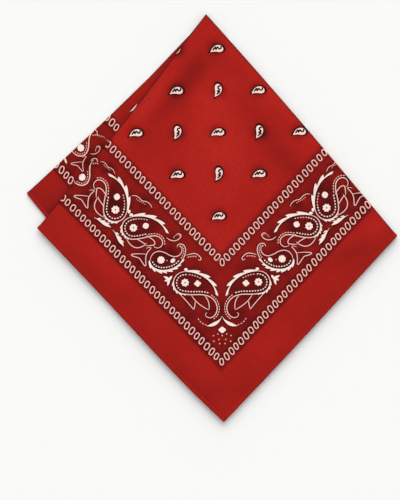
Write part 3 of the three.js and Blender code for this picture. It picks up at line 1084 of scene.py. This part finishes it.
# a hem, as a rounded strip with stitches; trim clears the hem that it meets
def buildHem(name, trim):
    alongRight = name in ("topRightHem", "underRightHem")
    along = hemStations(alongRight)
    along = np.clip(along, -pile["half"] + trim, pile["half"] - trim)
    along = np.unique(np.round(along, 4))
    rings = []
    for k in range(hem["ring"]):
        angle = 2 * math.pi * k / hem["ring"]
        flat = math.copysign(abs(math.cos(angle)) ** hem["squareSides"], math.cos(angle))
        high = math.copysign(abs(math.sin(angle)) ** hem["squareFaces"], math.sin(angle))
        inset = hem["width"] / 2 * (1 - flat)
        u, v = hemPoint(name, along, inset)
        u = np.asarray(u) + 0 * along
        v = np.asarray(v) + 0 * along
        normal = surfaceNormal(u, v)
        (fine, finePace), (slow, slowPace) = hem["pucker"]
        pucker = fine * np.sin(along * finePace + k) + slow * np.sin(along * slowPace)
        rings.append(np.array(clothPoint(u, v)) + normal * (high * hem["thick"] / 2 + pucker))
    points = np.stack(rings, axis=0).transpose(2, 0, 1).reshape(-1, 3)
    count, sides = len(along), hem["ring"]
    stitchPoints, stitchFaces = stitches(name, trim, len(points))
    faces = []
    for i in range(count - 1):
        for k in range(sides):
            n = (k + 1) % sides
            faces.append((i * sides + k, i * sides + n, (i + 1) * sides + n, (i + 1) * sides + k))
    faces.append(tuple(range(sides))[::-1])
    faces.append(tuple((count - 1) * sides + k for k in range(sides)))
    mesh = bpy.data.meshes.new(name)
    mesh.from_pydata(np.concatenate([points, stitchPoints]) * mm, [], faces + stitchFaces)
    mesh.shade_smooth()
    inside = [hem["width"] / 2 * (1 - math.cos(2 * math.pi * k / sides)) for k in range(sides)]
    edgeShares = [math.exp(-(inset / hem["edgeWide"]) ** 2) for inset in inside]
    # the hem's tone, with painted shade along its outer edge
    shadeAndTone = [hem["tone"] + hem["edgeShade"] * share for share in edgeShares] * count
    shadeAndTone += [hem["tone"]] * len(stitchPoints)
    addValues(mesh, "shadeAndTone", shadeAndTone)
    where = mesh.uv_layers.new(name="flatCloth")
    for loop in mesh.loops:
        station, corner = divmod(min(loop.vertex_index, count * sides - 1), sides)
        where.data[loop.index].uv = (along[station] * mm, corner * hem["width"] * 2 / sides * mm)
    piece = bpy.data.objects.new(name, mesh)
    bpy.context.scene.collection.objects.link(piece)
    return piece


hems = {
    "topLeftHem": buildHem("topLeftHem", 0),
    "topRightHem": buildHem("topRightHem", hem["width"]),
    "underLeftHem": buildHem("underLeftHem", 0),
    "underRightHem": buildHem("underRightHem", hem["width"]),
}
print("hems:", ", ".join(hems))


# an sRGB hex colour, as the linear values that shaders take
def linear(hexColour):
    parts = [int(hexColour[i:i + 2], 16) / 255 for i in (1, 3, 5)]
    return tuple(p / 12.92 if p <= 0.04045 else ((p + 0.055) / 1.055) ** 2.4 for p in parts) + (1,)


# a node with its settings, and its sockets either linked or set
def node(tree, kind, settings=None, sockets=None):
    made = tree.nodes.new("ShaderNode" + kind)
    for key, value in (settings or {}).items():
        setattr(made, key, value)
    for key, value in (sockets or {}).items():
        if isinstance(value, bpy.types.NodeSocket):
            tree.links.new(value, made.inputs[key])
        else:
            made.inputs[key].default_value = value
    return made


# thin plain-woven cotton, dyed red and screen-printed in white and black: a matt, slightly
# fuzzy face with fine slubs both ways, faint blotches in its dye, painted light and shade, and the weave
# shows through the ink
cotton = {
    "red": "#a91a13",
    # redDeep takes painted shade, the printed dark round the drops, blotches and slubs; redLight takes
    # painted highlights and blotches
    "redDeep": "#7e100b",
    "redLight": "#b8241b",
    "bandRed": "#7e0e0b",
    "bandDeep": "#4a0404",
    "haloRed": "#3e0202",
    "paintedFoldShade": "#2c0604",   # painted shade along the folds, also the darkest of the printed dark round the drops
    "black": "#150504",
    "line": "#f8b4a9",
    "fill": "#fadfd5",
    "roughness": 0.86,
    "specular": 0.12,
    "sheen": 0.06,
    "sheenTint": "#e08070",
    "thread": 0.0013,       # real threads are 0.35 mm apart; drawn this coarse so that they show
    "threadHeight": 0.00035,
    "threadShare": 0.5,     # of the relief, beside the slubs
    "bump": 0.5,
    "slubLong": 0.011,      # a thicker place in a thread, its length and width
    "slubWide": 0.0011,
    "slubs": (0.56, -0.07),     # streaks below the first number deepen the red
    "blotch": 0.05,         # size of the dye's faint blotches
    "mottle": 0.011,        # and of the unevenness of the band's ground
    "mottled": (0.3, 0.72),
    "deepens": (0.5, -0.83),    # tones over which the red turns deep, light and darkest: painted shade and highlights, faint blotches and the printed dark round the drops move it
    "lightens": (0.5, 1.6),
    "foldShadeTones": (-0.6, -1.9),
}


# threads and slubs, as two outputs: even relief from 0 to 1, and streaks about 0.5
def weave(tree):
    flat = node(tree, "UVMap", {"uv_map": "flatCloth"}).outputs["UV"]
    bands = math.pi / 10 / cotton["thread"]     # the scale at which one wave is one thread
    waves, streaks = [], []
    for direction, narrow in (("X", (1 / cotton["slubWide"], 1 / cotton["slubLong"], 1)),
                              ("Y", (1 / cotton["slubLong"], 1 / cotton["slubWide"], 1))):
        wave = node(tree, "TexWave", {"bands_direction": direction}, {
            "Vector": flat,
            "Scale": bands,
            "Distortion": 1.4,
            "Detail": 1.0,
            "Detail Scale": 1.2,
        })
        waves.append(wave.outputs["Fac"])
        drawnOut = node(tree, "VectorMath", {"operation": "MULTIPLY"}, {0: flat, 1: narrow}).outputs[0]
        slub = node(tree, "TexNoise", None, {"Vector": drawnOut, "Scale": 1.0, "Detail": 2.0})
        streaks.append(slub.outputs["Fac"])
    relief = node(tree, "Math", {"operation": "MULTIPLY"}, {0: waves[0], 1: waves[1]}).outputs[0]
    streak = node(tree, "Mix", None, {0: 0.5, 2: streaks[0], 3: streaks[1]}).outputs[0]
    return relief, streak


# what the printed face and the hems share: matt, a faint bloom of fibres, threads in relief
def finishCotton(tree, shader, relief, streak):
    height = node(tree, "Math", {"operation": "MULTIPLY_ADD"},
                  {0: relief, 1: cotton["threadShare"], 2: streak})
    bump = node(tree, "Bump", None, {
        "Height": height.outputs[0],
        "Strength": cotton["bump"],
        "Distance": cotton["threadHeight"],
    })
    tree.links.new(bump.outputs["Normal"], shader.inputs["Normal"])
    shader.inputs["Roughness"].default_value = cotton["roughness"]
    shader.inputs["Specular IOR Level"].default_value = cotton["specular"]
    shader.inputs["Sheen Weight"].default_value = cotton["sheen"]
    shader.inputs["Sheen Tint"].default_value = linear(cotton["sheenTint"])


# colours laid one over another, each by the share of a value between two ends
def overlaid(tree, colour, layers):
    for value, start, end, over in layers:
        share = node(tree, "MapRange", None, {"Value": value, "From Min": start, "From Max": end})
        mixed = node(tree, "Mix", {"data_type": "RGBA"}, {0: share.outputs[0], 6: colour, 7: over})
        colour = mixed.outputs[2]
    return colour


# dyed ground, with painted light and shade, faint blotches, and streaks along the threads
def dyedGroundAndPaintedShade(tree, streak):
    place = node(tree, "TexCoord").outputs["Object"]
    blotch = node(tree, "TexNoise", None, {"Vector": place, "Scale": 1 / cotton["blotch"], "Detail": 3.0})
    # the painted light and shade, and the other steady tones, that each point carries
    shadeAndTone = node(tree, "Attribute", {"attribute_name": "shadeAndTone"}).outputs["Fac"]
    tone = node(tree, "Math", {"operation": "ADD"}, {0: blotch.outputs["Fac"], 1: shadeAndTone}).outputs[0]
    return overlaid(tree, linear(cotton["red"]), [
        (tone, *cotton["deepens"], linear(cotton["redDeep"])),
        (tone, *cotton["lightens"], linear(cotton["redLight"])),
        (tone, *cotton["foldShadeTones"], linear(cotton["paintedFoldShade"])),
        (streak, *cotton["slubs"], linear(cotton["redDeep"])),
    ])


def printedCotton():
    material = bpy.data.materials.new("printedPlainWeaveCotton")
    material.use_nodes = True
    tree = material.node_tree
    shader = tree.nodes["Principled BSDF"]
    relief, streak = weave(tree)
    ink = node(tree, "VertexColor", {"layer_name": "ink"}).outputs["Color"]
    masks = node(tree, "SeparateColor", None, {"Color": ink}).outputs
    under = node(tree, "Attribute", {"attribute_name": "band"}).outputs["Fac"]
    # the band's ground is printed darker, unevenly
    place = node(tree, "TexCoord").outputs["Object"]
    uneven = node(tree, "TexNoise", None, {"Vector": place, "Scale": 1 / cotton["mottle"], "Detail": 2.0})
    bandColour = overlaid(tree, linear(cotton["bandDeep"]), [
        (uneven.outputs["Fac"], *cotton["mottled"], linear(cotton["bandRed"])),
    ])
    colour = overlaid(tree, dyedGroundAndPaintedShade(tree, streak), [
        (under, 0, 1, bandColour),
        (masks["Blue"], 0, 1, linear(cotton["haloRed"])),
        (masks["Green"], 0, 1, linear(cotton["black"])),
        (masks["Red"], 0, 0.5, linear(cotton["line"])),
        (masks["Red"], 0.5, 1, linear(cotton["fill"])),
    ])
    tree.links.new(colour, shader.inputs["Base Color"])
    finishCotton(tree, shader, relief, streak)
    return material


# the same cloth rolled over, without print
def rolledCotton():
    material = bpy.data.materials.new("rolledPlainWeaveCotton")
    material.use_nodes = True
    tree = material.node_tree
    shader = tree.nodes["Principled BSDF"]
    relief, streak = weave(tree)
    tree.links.new(dyedGroundAndPaintedShade(tree, streak), shader.inputs["Base Color"])
    finishCotton(tree, shader, relief, streak)
    return material


bandanaCloth.data.materials.append(printedCotton())
hemMaterial = rolledCotton()
for piece in hems.values():
    piece.data.materials.append(hemMaterial)
print("materials ready")


# a plain sheet of matt off-white card, wide enough to fill any view; its size is in metres
card = {"half": 14, "colour": "#f4f4f2", "roughness": 0.9}


def buildFloor():
    mesh = bpy.data.meshes.new("floor")
    far = card["half"]
    mesh.from_pydata([(-far, -far, 0), (far, -far, 0), (far, far, 0), (-far, far, 0)], [], [(0, 1, 2, 3)])
    piece = bpy.data.objects.new("floor", mesh)
    bpy.context.scene.collection.objects.link(piece)
    material = bpy.data.materials.new("mattPaleCard")
    material.use_nodes = True
    shader = material.node_tree.nodes["Principled BSDF"]
    shader.inputs["Base Color"].default_value = linear(card["colour"])
    shader.inputs["Roughness"].default_value = card["roughness"]
    mesh.materials.append(material)
    return piece


studio = {
    "key": 2.6,             # strength of the one soft light, from beyond the middle corner
    "softness": 60,         # degrees that it spans
    "lean": 33,             # its height above the floor, in degrees
    "turn": -3,             # and how far round it stands
    "fill": 0.605,          # strength of the even white surround
}

floor = buildFloor()
keyLight = bpy.data.lights.new("keyLight", "SUN")
keyLight.energy = studio["key"]
keyLight.angle = math.radians(studio["softness"])
keyPiece = bpy.data.objects.new("keyLight", keyLight)
keyPiece.rotation_euler = (math.radians(studio["lean"] - 90), 0, math.radians(studio["turn"]))
bpy.context.scene.collection.objects.link(keyPiece)
bpy.context.scene.view_settings.view_transform = "Standard"    # colours stay as they are given

world = bpy.data.worlds.new("studio")
bpy.context.scene.world = world
world.use_nodes = True
world.node_tree.nodes["Background"].inputs["Color"].default_value = (1, 1, 1, 1)
world.node_tree.nodes["Background"].inputs["Strength"].default_value = studio["fill"]

view = {
    "lens": 100,
    "sensor": 36.0,
    "centre": (-12.4, -33.0),
    "tall": 515.0,          # millimetres of the cloth's top layer that the view takes in
    "surface": 5.5,         # height of that layer
}
camera = bpy.data.cameras.new("camera")
camera.lens = view["lens"]
camera.sensor_width = view["sensor"]
cameraPiece = bpy.data.objects.new("camera", camera)
height = view["surface"] + view["tall"] * view["lens"] / view["sensor"]
cameraPiece.location = (view["centre"][0] * mm, view["centre"][1] * mm, height * mm)
bpy.context.scene.collection.objects.link(cameraPiece)
bpy.context.scene.camera = cameraPiece
print("floor, light and camera ready")


# what each piece stands for
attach(bandanaCloth, "root")
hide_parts("front_quarter", "inner_quarters", "back_strip", "under_quarter", "right_fold",
            "front_left_fold", "back_left_fold")
hemNodes = {
    "topLeftHem": ("front_left_hem", "second_left_hem"),
    "topRightHem": ("front_right_hem", "under_right_hem"),
    "underLeftHem": ("under_left_hem", "third_left_hem"),
    "underRightHem": ("second_right_hem", "third_right_hem"),
}
for name, piece in hems.items():
    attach(piece, "root")
    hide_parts(*hemNodes[name])
